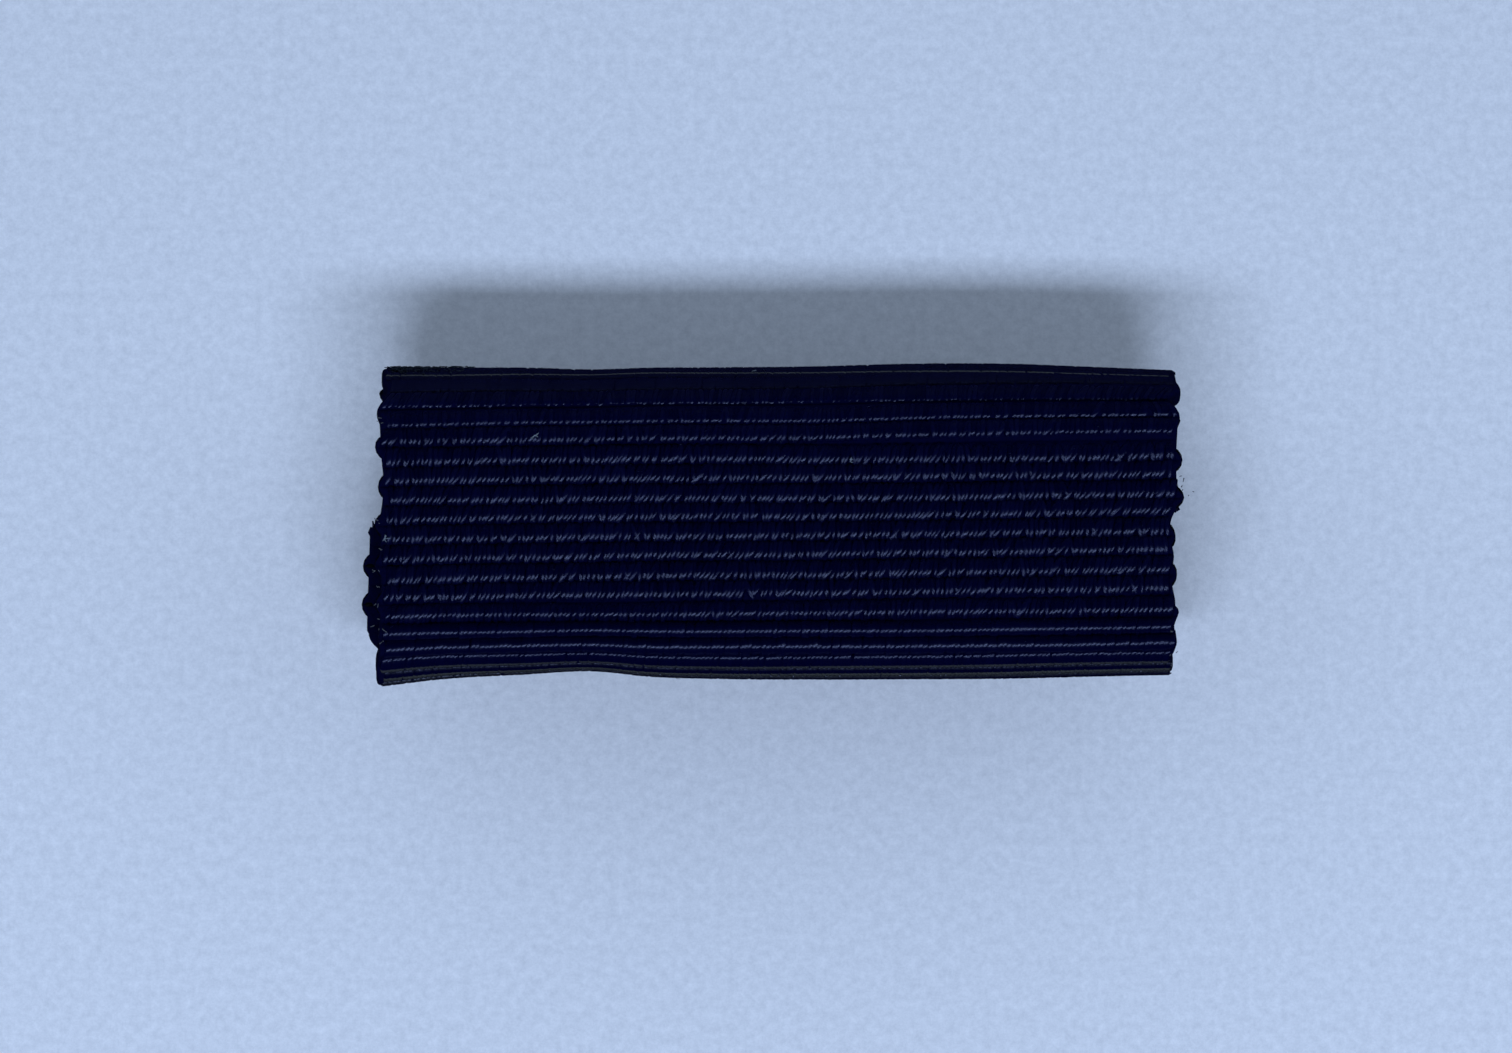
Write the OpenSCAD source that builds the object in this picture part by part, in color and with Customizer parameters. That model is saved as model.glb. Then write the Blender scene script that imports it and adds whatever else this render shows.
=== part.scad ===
// Service ribbon bar: a length of corded ribbon wrapped round a stamped channel bar, with a
// sewn-on brooch pin behind it. It lies on its back with the ribbed face up, +Y towards the top
// edge, and its origin is under the middle of its outline, on the surface that it lies on.

/* [Ribbon] */
// Width of the ribbon between its selvedges
ribbon_w = 31.6; // [28:0.1:38]
// Thickness of the ribbon over the crests of its ribs
ribbon_t = 1.0; // [1:0.05:1.1]
// Distance from one rib to the next along the ribbon
rib_pitch = 0.78; // [0.7:0.01:0.79]
// Depth of the grooves between the ribs, on each face
rib_depth = 0.2; // [0.05:0.01:0.25]
// How far the ribs climb on the face, from the left selvedge to the right one
rib_climb = 0.45; // [0:0.05:0.6]
// How far the turns of the cord stand out of a selvedge
turn_out = 0.24; // [0.05:0.01:0.3]
// Whole ribs above the middle of the face, up to the upper cut end
ribs_up = 17; // [15:1:17]
// Whole ribs below the middle of the face, down to the lower cut end
ribs_down = 19; // [17:1:19]

/* [Sleeve] */
// Height of the wrapped ribbon, from its top edge to its bottom edge
sleeve_h = 12.5; // [12.2:0.1:13]
// Thickness of the wrapped ribbon, front to back
sleeve_t = 4.1; // [4.1:0.1:4.6]
// Radius of the two folds beside the face, at mid thickness
fold_r = 2.5; // [1.8:0.05:2.5]
// Radius of the two folds beside the back, at mid thickness
tuck_r = 0.6; // [0.58:0.01:0.6]
// How far the lower end stands out beyond the left selvedge of the face
lower_shift = 0.55; // [0:0.05:0.7]
// How far the upper end stands out beyond the right selvedge of the face
upper_shift = 0.4; // [0:0.05:0.6]

/* [Bar] */
// Length of the stamped bar
bar_l = 31.0; // [26:0.1:31.4]
// Thickness of the sheet that it is stamped from
bar_sheet = 0.6; // [0.4:0.05:0.8]
// Room between the bar and the ribbon, in front of it and behind it
bar_gap = 0.05; // [0.04:0.01:0.1]
// Room between the bar's long edges and the ribbon, which wavers there
bar_room = 0.35; // [0.35:0.05:0.6]

/* [Brooch pin] */
// Length of the pin's base plate
plate_l = 26; // [22:0.5:28]
// Width of the base plate
plate_w = 4.4; // [4:0.1:6]
// Thickness of the base plate, and of its hinge and catch
plate_t = 0.4; // [0.3:0.05:0.5]
// Diameter of the pin wire
wire_d = 0.7; // [0.6:0.05:0.9]
// Room between the pin wire and the base plate, for the cloth that it is pinned to
pin_room = 0.5; // [0.4:0.05:1.5]
// Distance of the hinge and of the catch from the middle
foot_x = 9; // [8:0.5:9.5]
// Length of the hinge and of the catch along the bar
foot_l = 2.4; // [2:0.1:3]
// Radius of the sewing holes
sew_r = 0.4; // [0.3:0.05:0.5]

/* [Hidden] */

// Gap between pieces that meet
gap = 0.04;

// The weave: where the first rib's crest lies on the face, below its middle
crest_s = -0.44;
// Steps from one groove to the next: share of the pitch, and share of the groove's depth there
STEP_AT = 0;
STEP_DEPTH = 1;
rib_steps = [
    [0.00, 1.0],
    [0.20, 0.4],
    [0.50, 0.0],
    [0.80, 0.4],
];

// The long edges, which waver as a hand-wrapped ribbon's do: station as a share of the half width,
// and how far the top and the bottom edge stand beyond their even height there
EDGE_U = 0;
EDGE_TOP = 1;
EDGE_BOTTOM = 2;
edge_rows = [
    [-1.00, 0.00, 0.25],
    [-0.85, -0.04, 0.04],
    [-0.65, -0.04, -0.15],
    [-0.45, -0.12, -0.28],
    [-0.33, -0.04, -0.08],
    [-0.15, -0.04, 0.02],
    [0.10, 0.02, 0.04],
    [0.35, 0.12, 0.02],
    [0.60, 0.12, 0.00],
    [0.80, 0.02, -0.08],
    [1.00, -0.18, -0.18],
];
top_edge = [for (row = edge_rows) [row[EDGE_U], row[EDGE_TOP]]];
bottom_edge = [for (row = edge_rows) [row[EDGE_U], row[EDGE_BOTTOM]]];

// The rounded selvedge: distance in from the very edge, share of the thickness, share of the turns
SELVEDGE_IN = 0;
SELVEDGE_T = 1;
SELVEDGE_TURN = 2;
selvedge_rows = [
    [0.00, 0.40, 1.0],
    [0.12, 0.85, 1.0],
    [0.35, 1.00, 0.6],
];

// Heights: the pin lies under the sleeve, and the bar lies inside it
wire_z = plate_t + gap + wire_d / 2;
plate_z = wire_z + wire_d / 2 + pin_room;
sleeve_z = plate_z + plate_t + gap;
back_z = sleeve_z + ribbon_t / 2;
face_z = sleeve_z + sleeve_t - ribbon_t / 2;
bar_z = back_z + ribbon_t / 2 + bar_gap;

// Lengths along the wrap, from the middle of the face to one cut end. In the folds the cords keep
// their spacing a little outside mid thickness, because the ribbon is squeezed on its inner side
cord_out = 0.36;
half_h = (sleeve_h - ribbon_t) / 2;
side_h = max(0, face_z - back_z - fold_r - tuck_r);
bend_r = face_z - back_z - tuck_r - side_h;
face_end = half_h - bend_r;
fold_end = face_end + (bend_r + cord_out) * PI / 2;
side_end = fold_end + side_h;
tuck_end = side_end + (tuck_r + cord_out) * PI / 2;

// The bar's size follows from the room inside the wrap
bar_h = sleeve_h - 2 * (ribbon_t + bar_room);
bar_d = sleeve_t - 2 * (ribbon_t + bar_gap);
bar_r = bend_r - ribbon_t / 2 - 2 * bar_gap;

function turned(arc, r) = arc / (r + cord_out) * 180 / PI;
function ease(t) = let (c = min(1, max(0, t))) c * c * (3 - 2 * c);

// Mid thickness of the wrap at a distance from the middle of the face: distance out from the
// middle, height, and the angle that the outer face is turned from facing up
function wrap(d) =
    d < face_end ? [d, face_z, 0]
    : d < fold_end ? let (a = turned(d - face_end, bend_r))
        [face_end + bend_r * sin(a), face_z - bend_r * (1 - cos(a)), a]
    : d < side_end ? [half_h, face_z - bend_r - (d - fold_end), 90]
    : d < tuck_end ? let (a = turned(d - side_end, tuck_r))
        [half_h - tuck_r * (1 - cos(a)), back_z + tuck_r * (1 - sin(a)), 90 + a]
    : [half_h - tuck_r - (d - tuck_end), back_z, 180];

// How far the two ends stand sideways, at a distance s below the middle of the face: the lower
// end is laid crooked just past its fold, and the upper end goes aside more and more
shift_run = 0.9;
function end_shift(s) =
    s > 0 ? -lower_shift * ease((s - tuck_end) / shift_run)
    : upper_shift * pow(max(0, -s - side_end) / (half_h + tuck_end - side_end), 2);

// The cord turns back at every other groove, on the right selvedge and the left one by turns
function turn(s, side) = turn_out * max(0, -side * sin(180 * (s - crest_s) / rib_pitch));

// A point of the ribbon: u is the share of the half width, s the distance below the middle of
// the face, out the distance from mid thickness, and in_x the distance in from the selvedge
function ribbon_point(u, s, out, in_x, turn_share) =
    let (m = wrap(abs(s)),
         up = s < 0,
         even = m[0] + out * sin(m[2]),
         edge = up ? lookup(u, top_edge) : lookup(u, bottom_edge),
         y = even * (1 + 2 * edge / sleeve_h),
         x = abs(u) < 1 ? u * ribbon_w / 2 : u * (ribbon_w / 2 - in_x + turn_share * turn(s, u)))
    [x + end_shift(s), up ? y : -y, m[1] + out * cos(m[2])];

// Stations across the ribbon: share of the half width, distance in, thickness and turn shares
stations = concat(
    [for (r = selvedge_rows) [-1, r[SELVEDGE_IN], r[SELVEDGE_T], r[SELVEDGE_TURN]]],
    [for (k = [1:len(edge_rows) - 2]) [edge_rows[k][EDGE_U], 0, 1, 0]],
    [for (k = [len(selvedge_rows) - 1:-1:0])
        let (r = selvedge_rows[k]) [1, r[SELVEDGE_IN], r[SELVEDGE_T], r[SELVEDGE_TURN]]]
);

// Rows along the ribbon, from the upper cut end to the lower one: distance and groove depth
rows = concat(
    [for (k = [-ribs_up:ribs_down - 1], step = rib_steps)
        [crest_s + (k - 0.5 + step[STEP_AT]) * rib_pitch, step[STEP_DEPTH]]],
    [[crest_s + (ribs_down - 0.5) * rib_pitch, 1]]
);

function grid_point(i, j, side) =
    let (st = stations[i],
         half_t = (ribbon_t / 2 - rib_depth * rows[j][1]) * st[2])
    ribbon_point(st[0], rows[j][0] - rib_climb * st[0] / 2, side * half_t, st[1], st[3]);

n_st = len(stations);
n_row = len(rows);
outer_face = [for (i = [0:n_st - 1], j = [0:n_row - 1]) grid_point(i, j, 1)];
inner_face = [for (i = [0:n_st - 1], j = [0:n_row - 1]) grid_point(i, j, -1)];
ribbon_points = concat(outer_face, inner_face);

// The outline's middle, which the origin is put under
xs = [for (p = ribbon_points) p.x];
ys = [for (p = ribbon_points) p.y];
middle = [(min(xs) + max(xs)) / 2, (min(ys) + max(ys)) / 2, 0];

function at(i, j, inner = 0) = (inner * n_st + i) * n_row + j;
function quad(a, b, c, d) = [[a, b, c], [a, c, d]];

module ribbon() {
    outer = [for (i = [0:n_st - 2], j = [0:n_row - 2])
        each quad(at(i, j), at(i, j + 1), at(i + 1, j + 1), at(i + 1, j))];
    inner = [for (i = [0:n_st - 2], j = [0:n_row - 2])
        each quad(at(i, j, 1), at(i + 1, j, 1), at(i + 1, j + 1, 1), at(i, j + 1, 1))];
    left = [for (j = [0:n_row - 2])
        each quad(at(0, j), at(0, j, 1), at(0, j + 1, 1), at(0, j + 1))];
    right = [for (j = [0:n_row - 2])
        each quad(at(n_st - 1, j), at(n_st - 1, j + 1),
                  at(n_st - 1, j + 1, 1), at(n_st - 1, j, 1))];
    upper_cut = [for (i = [0:n_st - 2])
        each quad(at(i, 0), at(i + 1, 0), at(i + 1, 0, 1), at(i, 0, 1))];
    lower_cut = [for (i = [0:n_st - 2])
        each quad(at(i, n_row - 1), at(i, n_row - 1, 1),
                  at(i + 1, n_row - 1, 1), at(i + 1, n_row - 1))];
    color("#06081f") translate(-middle)
        polyhedron(ribbon_points, concat(outer, inner, left, right, upper_cut, lower_cut));
}

// Section of a bar with two rounded front edges, drawn with the front at the top
module bar_section(h, d, r) {
    intersection() {
        translate([-h / 2, 0]) square([h, d]);
        union() {
            translate([-h / 2, -r]) square([h, d]);
            translate([-h / 2 + r, 0]) square([h - 2 * r, d]);
            for (side = [-1, 1]) translate([side * (h / 2 - r), d - r]) circle(r = r, $fn = 64);
        }
    }
}

// Stands a section drawn in height and depth up on the bar's length
module along_bar(length) {
    rotate([90, 0, 90]) linear_extrude(height = length, center = true) children();
}

module bar() {
    color("#b08d4a") translate([0, 0, bar_z] - middle) along_bar(bar_l) difference() {
        bar_section(bar_h, bar_d, bar_r);
        translate([0, -gap])
            bar_section(bar_h - 2 * bar_sheet, bar_d - bar_sheet + gap, bar_r - bar_sheet);
    }
}

module plate() {
    sew_x = plate_l / 2 - plate_w / 2 + sew_r;
    difference() {
        union() {
            translate([0, 0, plate_t / 2])
                cube([plate_l - plate_w, plate_w, plate_t], center = true);
            for (end = [-1, 1]) translate([end * (plate_l - plate_w) / 2, 0, 0])
                cylinder(r = plate_w / 2, h = plate_t, $fn = 64);
        }
        for (end = [-1, 1], side = [-1, 1])
            translate([end * sew_x, side * plate_w / 4, -gap])
                cylinder(r = sew_r, h = plate_t + 2 * gap, $fn = 32);
    }
}

foot_w = plate_w - 2 * plate_t;

// The hinge: two ears under the plate, joined by a flat foot, with a barrel between them
module hinge() {
    translate([foot_x - foot_l / 2, -foot_w / 2, 0]) {
        cube([foot_l, foot_w, plate_t]);
        for (y = [0, foot_w - plate_t]) translate([0, y, 0])
            cube([foot_l, plate_t, plate_z + plate_t / 2]);
    }
    translate([foot_x, 0, wire_z]) rotate([90, 0, 0])
        cylinder(d = wire_d + plate_t, h = foot_w - plate_t, center = true, $fn = 48);
}

// The catch: one leg under the plate, a flat foot and a low lip that the wire springs behind
module catch_hook() {
    translate([-foot_x - foot_l / 2, -foot_w / 2, 0]) {
        cube([foot_l, foot_w, plate_t]);
        translate([0, foot_w - plate_t, 0]) cube([foot_l, plate_t, plate_z + plate_t / 2]);
        cube([foot_l, plate_t, wire_z + wire_d / 2]);
    }
}

module wire() {
    tip_l = 2 * wire_d;
    run = foot_x * 2 + foot_l / 2;
    translate([foot_x, 0, wire_z]) rotate([0, -90, 0]) {
        cylinder(d = wire_d, h = run, $fn = 32);
        translate([0, 0, run]) cylinder(d1 = wire_d, d2 = wire_d / 5, h = tip_l, $fn = 32);
    }
}

module brooch_pin() {
    color("#c9c9c4") translate(-middle) {
        translate([0, 0, plate_z]) plate();
        hinge();
        catch_hook();
        wire();
    }
}

ribbon();
bar();
brooch_pin();
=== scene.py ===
"""Service ribbon bar: a length of navy corded ribbon wrapped round a stamped brass bar, with a
nickel-plated brooch pin sewn on behind it. The bar and the pin are the frame's own solids with
their metal; the ribbon is dressed with its warp yarns, cord turns, cut ends and fibres.

Cloth is worked out on the unrolled ribbon: x across it, s down its length from the middle of the
face, and h out of its middle layer. One function lays such points round the bar.
"""

import math

import bmesh
import bpy
import numpy as np
from bpy.props import FloatProperty, FloatVectorProperty, IntProperty, PointerProperty
from bpy.types import Operator, Panel, PropertyGroup
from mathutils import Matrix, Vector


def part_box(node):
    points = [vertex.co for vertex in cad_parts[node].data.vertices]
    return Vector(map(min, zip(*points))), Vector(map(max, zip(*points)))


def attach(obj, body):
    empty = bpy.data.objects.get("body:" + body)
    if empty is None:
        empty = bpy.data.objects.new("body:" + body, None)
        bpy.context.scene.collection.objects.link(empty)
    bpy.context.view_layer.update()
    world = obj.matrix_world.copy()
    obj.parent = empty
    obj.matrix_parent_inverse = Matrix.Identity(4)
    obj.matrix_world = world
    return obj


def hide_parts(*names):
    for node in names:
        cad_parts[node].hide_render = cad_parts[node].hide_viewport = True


bl_info = {
    "name": "Service Ribbon Bar",
    "version": (1, 0, 0),
    "blender": (4, 5, 0),
    "location": "View3D > Sidebar > Ribbon Bar",
    "description": "A corded ribbon wrapped round a bar, with the brooch pin behind it",
    "category": "Add Mesh",
}

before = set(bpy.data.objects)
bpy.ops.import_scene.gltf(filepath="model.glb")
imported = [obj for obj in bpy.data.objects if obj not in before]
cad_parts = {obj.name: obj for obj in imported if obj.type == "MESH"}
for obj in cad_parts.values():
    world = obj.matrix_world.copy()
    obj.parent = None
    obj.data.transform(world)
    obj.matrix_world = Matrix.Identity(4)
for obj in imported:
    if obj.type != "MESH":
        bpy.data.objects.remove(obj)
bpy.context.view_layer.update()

MM = 0.001
ROOT = "root"
METAL_PIECES = "metal pieces"
YARN_FINISH = "Navy rayon warp yarn"
RIBBON_LOW, RIBBON_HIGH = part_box("ribbon")
BAR_LOW, BAR_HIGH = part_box("bar")
MIDDLE_X = (BAR_LOW.x + BAR_HIGH.x) / 2
MIDDLE_Y = (BAR_LOW.y + BAR_HIGH.y) / 2

# The long edges waver as a hand-wrapped ribbon's do: station as a share of the half width, and how
# far the top and the bottom edge stand beyond their even height there, in millimetres
EDGE_ROWS = np.array([
    [-1, 0, 0.4], [-0.85, 0, 0.1], [-0.65, 0, -0.09], [-0.45, -0.08, -0.22], [-0.33, -0.02, -0.02],
    [-0.15, 0, 0.08], [0.1, 0.04, 0.11], [0.35, 0.15, 0.1], [0.6, 0.14, 0.07], [0.8, 0.02, -0.01],
    [1, -0.12, -0.08],
])
TOP_EDGE, BOTTOM_EDGE = 1, 2

# The selvedges waver too: distance below the middle of the face, and how far the left and the
# right selvedge lie to the right of their straight course there, in millimetres
SELVEDGE_ROWS = np.array([
    [-7.5, 0, 0.24], [-6.4, 0.04, 0.22], [-5.6, 0.2, 0.36], [-5.1, 0.1, 0.04], [-4.6, -0.1, 0.3],
    [-4, -0.06, 0.3], [-2.5, 0.02, 0.24], [-1.6, 0.1, 0.26], [-0.9, 0.06, 0.3], [-0.45, 0, 0.2],
    [-0.2, -0.04, 0.08], [0.4, 0, -0.02], [1.4, -0.04, 0.15], [2.1, 0, 0.04], [3.2, 0, 0.2],
    [4.4, -0.08, 0.18], [5, -0.06, 0.24], [5.6, -0.14, 0.12], [7, -0.24, 0.12],
])
LEFT_SELVEDGE, RIGHT_SELVEDGE = 1, 2
SELVEDGE_FADE = 1.5 * MM  # the selvedges run straight again over this length, before the back

# The cords lie unevenly: number of the rib, and how far it lies below its even place at the four
# stations, in millimetres
RIB_STATIONS = np.array([-0.85, -0.35, 0.10, 0.75])
RIB_ROWS = np.array([
    [-18.5, 0, 0, 0, 0.48], [-10, 0, 0, 0, 0], [-8, -0.02, -0.16, 0.04, 0.28],
    [-7, -0.06, -0.05, -0.04, -0.16], [-6, -0.06, -0.09, -0.07, -0.04], [-5, 0, -0.06, 0.04, -0.06],
    [-4, -0.04, -0.07, 0, -0.1], [-3, -0.02, -0.02, 0.13, 0.18], [-2, -0.04, -0.02, 0.06, 0.1],
    [-1, -0.04, 0, 0.11, 0.12], [0, -0.06, -0.03, 0.04, 0.04], [1, -0.03, -0.02, 0.02, 0.06],
    [2, -0.02, -0.06, 0.02, 0], [3, 0.02, 0, 0.03, 0.04], [4, -0.05, -0.05, 0.02, 0],
    [5, 0, 0.06, 0.09, 0.11], [6, -0.02, 0.06, 0.13, 0.17], [7, -0.08, 0.06, 0.1, 0.17],
    [8, -0.18, 0.04, 0.06, 0.1], [9, -0.16, 0.06, 0.06, 0.08], [10, 0, 0.02, 0.02, 0.02],
])
CORD_WANDER = 0.022 * MM  # how far the cords stray besides, from wave to wave along them

# The bend of a fold comes over the first length, and is left behind the second past the fold
BEND_EASE, BEND_LAG = 0.9 * MM, 0.4 * MM
# Where the two folds pull the ribs smooth: how much at most, the rib number where it starts, the
# part of a rib over which it comes, and the same two for its end
PULLS = ((0.9, 7.1, 0.6, 11.5, 0.6), (0.55, -10.0, 0.6, -5.6, 0.5))
# How much less the turns of the cords stand out of a selvedge where the ribbon is bent
TURN_PULL = 0.7


def srgb(code):
    """Linear RGB of an sRGB hex value."""
    c = np.array([int(code[i:i + 2], 16) for i in (1, 3, 5)]) / 255
    return tuple(float(v) for v in np.where(c <= 0.04045, c / 12.92, ((c + 0.055) / 1.055) ** 2.4))


def length(name, text, millimetres, lowest=0.0):
    """A property that holds a length, or with a lowest value below 0 a place on an axis. Its
    default is given in millimetres."""
    return FloatProperty(name=name, description=text, default=millimetres * MM, min=lowest,
                         precision=6, subtype="DISTANCE", unit="LENGTH")


def number(name, text, default):
    """A property that holds a plain number from 0 up."""
    return FloatProperty(name=name, description=text, default=default, min=0)


def colour(name, text, code):
    """A property that holds a colour, with its default given as an sRGB hex value."""
    return FloatVectorProperty(name=name, description=text, default=srgb(code), min=0, max=1,
                               subtype="COLOR", size=3)


class RibbonSettings(PropertyGroup):
    """Sizes and colours of the corded ribbon and of its wrap round the bar."""

    width: length("Width", "Width of the ribbon between its selvedges", 31.6)
    thickness: length("Thickness", "Thickness of the ribbon over the crests of its ribs", 1.0)
    rib_pitch: length("Rib pitch", "Distance from one rib to the next", 0.78)
    arch: length("Rib arch", "Height of the low arch of each rib", 0.13)
    fold_arch: length("Fold arch", "Height of the arch where the ribbon is folded", 0.28)
    groove: length("Groove", "Depth of the narrow groove beside the arch", 0.035)
    rib_climb: length("Rib climb", "How far the ribs climb from the left to the right", 0.45)
    crest_s: length("First crest", "How far the first rib's crest lies below the middle", -0.44, -1)
    ribs_up: IntProperty(name="Ribs up", default=17,
                         description="Whole ribs up to the upper cut end")
    ribs_down: IntProperty(name="Ribs down", default=19,
                           description="Whole ribs down to the lower cut end")
    height: length("Sleeve height", "Height of the wrapped ribbon, from edge to edge", 12.5)
    fold_r: length("Fold radius", "Radius of the folds beside the face, at mid thickness", 2.5)
    tuck_r: length("Tuck radius", "Radius of the folds beside the back, at mid thickness", 0.6)
    cord_out: length("Cord depth", "How far outside mid thickness cords keep their spacing", 0.36)
    lower_shift: length("Lower shift", "How far the lower end stands out on the left", 0.55)
    upper_shift: length("Upper shift", "How far the upper end stands out on the right", 0.4)
    lower_skew: number("Lower skew", "How much more the lower end stands out by its fold than by "
                       "its cut", 0.3)
    shift_run: length("Shift run", "Length in which the lower end goes aside", 0.9)
    turn_out: length("Cord turn", "How far the turns of the cord stand out of a selvedge", 0.24)
    yarn_pitch: length("Yarn pitch", "Distance between the warp yarns that cross one rib", 0.185)
    yarn_rise: length("Yarn rise", "How far a round warp yarn stands out of the ground", 0.056)
    yarn_slant: number("Yarn slant", "Sideways run of a warp yarn per length", 0.2)
    seed: IntProperty(name="Seed", description="Seed of the weave's unevenness", default=7)
    yarn_colour: colour("Yarn", "Colour of the warp yarns", "#000121")
    ground_colour: colour("Ground", "Colour of the cloth between and under the yarns", "#000121")
    cord_colour: colour("Cord", "Colour of the cords where they turn at the selvedges", "#010206")
    # Pale colour painted in lines and bands on the folds: mostly painted reflections of the paper
    # and painted highlight lines, partly dusting and wear
    dust_and_reflection_colour: colour("Dust_and_reflection", "Colour of the dust and wear on the folds", "#3f403a")


class StageSettings(PropertyGroup):
    """The camera, the light and the floor."""

    view_width: length("View width", "Width of the view at the height of the ribbon's face", 60.48)
    view_x: length("View X", "Middle of the view, across", -0.63, -1)
    view_y: length("View Y", "Middle of the view, up", -0.11, -1)
    distance: length("Distance", "Height of the camera above the ribbon's face", 400)
    floor_size: length("Floor size", "Length and width of the paper", 2400)
    light_rise: FloatProperty(name="Light rise",
                              description="Angle of the window light above the paper",
                              default=math.radians(50), subtype="ANGLE", unit="ROTATION")
    light_distance: length("Light distance", "Distance of the window light", 400)
    light_long: length("Light length", "Length of the window light, side to side", 460)
    light_high: length("Light height", "Height of the window light", 70)
    radiance: number("Radiance", "Brightness of the window light", 16.2)
    panel_distance: length("Panel distance", "Distance of the soft panels the metal shows", 900)
    panel_long: length("Panel length", "Length of a soft panel", 1500)
    panel_high: length("Panel height", "Height of a soft panel", 700)
    panel_radiance: number("Panel radiance", "Brightness of a soft panel", 0.5)
    window_tone: colour("Window", "Colour of the window light", "#c8dcff")
    sky: number("Sky", "Brightness of the room near the horizon", 3.8)
    sky_tone: colour("Room", "Colour of the room's light", "#c9dfff")
    paper_colour: colour("Paper", "Colour of the paper", "#e2e4e7")


def ease(t):
    """3t^2 - 2t^3 for t from 0 to 1, level before and after."""
    t = np.clip(t, 0, 1)
    return t * t * (3 - 2 * t)


class Wrap:
    """The ribbon's course round the bar, worked out from the settings and the frame."""

    def __init__(self, settings):
        """The face and the back lie half a thickness inside the frame's ribbon, and the folds
        take what is left between them."""
        self.set = settings
        half_t = settings.thickness / 2
        self.face_z = RIBBON_HIGH.z - half_t
        self.back_z = RIBBON_LOW.z + half_t
        self.half_h = settings.height / 2 - half_t
        self.side_h = max(0.0, self.face_z - self.back_z - settings.fold_r - settings.tuck_r)
        self.bend_r = self.face_z - self.back_z - settings.tuck_r - self.side_h
        self.face_end = self.half_h - self.bend_r
        self.fold_end = self.face_end + (self.bend_r + settings.cord_out) * math.pi / 2
        self.side_end = self.fold_end + self.side_h
        self.tuck_end = self.side_end + (settings.tuck_r + settings.cord_out) * math.pi / 2
        self.back_mid = self.half_h - settings.tuck_r + self.tuck_end

    def course(self, d):
        """Distance out from the middle, height, and the angle turned from facing up, at a
        distance d along the wrap: flat to the fold, a quarter turn of radius bend_r, a straight
        side, a quarter turn of radius tuck_r, then flat under the back. A length d of cords
        turns by d / (r + cord_out)."""
        fold = np.clip((d - self.face_end) / (self.bend_r + self.set.cord_out), 0, math.pi / 2)
        tuck = np.clip((d - self.side_end) / (self.set.tuck_r + self.set.cord_out), 0, math.pi / 2)
        out = (np.minimum(d, self.face_end) + self.bend_r * np.sin(fold)
               - self.set.tuck_r * (1 - np.cos(tuck)) - np.maximum(d - self.tuck_end, 0))
        z = (self.face_z - self.bend_r * (1 - np.cos(fold))
             - np.clip(d - self.fold_end, 0, self.side_h) - self.set.tuck_r * np.sin(tuck))
        return out, z, fold + tuck

    def end_shift(self, s):
        """Sideways place of the two ends: the lower one steps aside by lower_shift just past its
        fold and comes back a little by its cut end, and the upper one goes aside by upper_shift
        times the square of its length behind."""
        to_cut = np.clip((self.back_mid - s) / (self.back_mid - self.tuck_end), 0, 1)
        skew = 1 + self.set.lower_skew * to_cut
        lower = -self.set.lower_shift * skew * ease((s - self.tuck_end) / self.set.shift_run)
        run = self.back_mid - self.side_end
        upper = self.set.upper_shift * (np.maximum(-s - self.side_end, 0) / run) ** 2
        return np.where(s > 0, lower, upper)

    def place(self, x, s, h):
        """Point in space of the unrolled point (x, s, h): h out along the turned normal, with the
        waver of the nearer long edge times the fifth power of the share of the way to it, and the
        waver of the nearer selvedge times the sixth power of that share, none at the back."""
        x, s, h = np.broadcast_arrays(x, s, h)
        out, z, angle = self.course(np.abs(s))
        u = 2 * x / self.set.width
        edge = np.where(s < 0, chart(EDGE_ROWS, TOP_EDGE, u), chart(EDGE_ROWS, BOTTOM_EDGE, u)) * MM
        even = out + h * np.sin(angle)
        y = even + edge * (2 * even / self.set.height) ** 5
        left = chart(SELVEDGE_ROWS, LEFT_SELVEDGE, s / MM) * np.maximum(-u, 0) ** 6
        right = chart(SELVEDGE_ROWS, RIGHT_SELVEDGE, s / MM) * np.maximum(u, 0) ** 6
        side = (left + right) * MM * ease((self.tuck_end - np.abs(s)) / SELVEDGE_FADE)
        return np.stack([MIDDLE_X + x + side + self.end_shift(s), MIDDLE_Y - np.sign(s) * y,
                         z + h * np.cos(angle)], -1)

    def folded(self, s):
        """How much the ribbon is bent at s: 0 on the face and on the back, 1 in the folds."""
        d = np.abs(s)
        coming = ease((d - self.face_end) / BEND_EASE)
        return coming * ease((self.tuck_end + BEND_LAG - d) / BEND_EASE)

    def pulled(self, rib):
        """How smooth the ribs are pulled: most where the lower fold turns under, and a little on
        the upper fold."""
        return sum(most * ease((rib - start) / coming) * ease((end - rib) / going)
                   for most, start, coming, end, going in PULLS)

    def line(self, rib, x):
        """Distance s of the rib number `rib`, fractions too, at x: evenly spaced ribs that climb
        to the right, lie as their chart says, and wander a little, by the product of two waves
        along x, 12 mm and 31 mm long, whose phases jump from rib to rib."""
        u = 2 * x / self.set.width
        wander = (CORD_WANDER * np.sin(x / (1.9 * MM) + 2.3 * np.sin(rib * 1.7))
                  * np.cos(rib * 0.9 + x / (5 * MM)))
        return (self.set.crest_s + rib * self.set.rib_pitch - self.set.rib_climb * u / 2 + wander
                + uneven_place(rib, u) * MM)


def chart(rows, column, at):
    """A chart's column at `at`, its rows joined by a smooth curve through them all: between two
    rows a cubic whose slope at each row is that from the row before to the row after."""
    station, value = rows[:, 0], rows[:, column]
    slope = np.gradient(value, station)
    at = np.clip(at, station[0], station[-1])
    k = np.clip(np.searchsorted(station, at) - 1, 0, len(station) - 2)
    gap = station[k + 1] - station[k]
    t = (at - station[k]) / gap
    return (value[k] * (1 - ease(t)) + value[k + 1] * ease(t)
            + gap * t * (1 - t) * (slope[k] * (1 - t) - slope[k + 1] * t))


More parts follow.
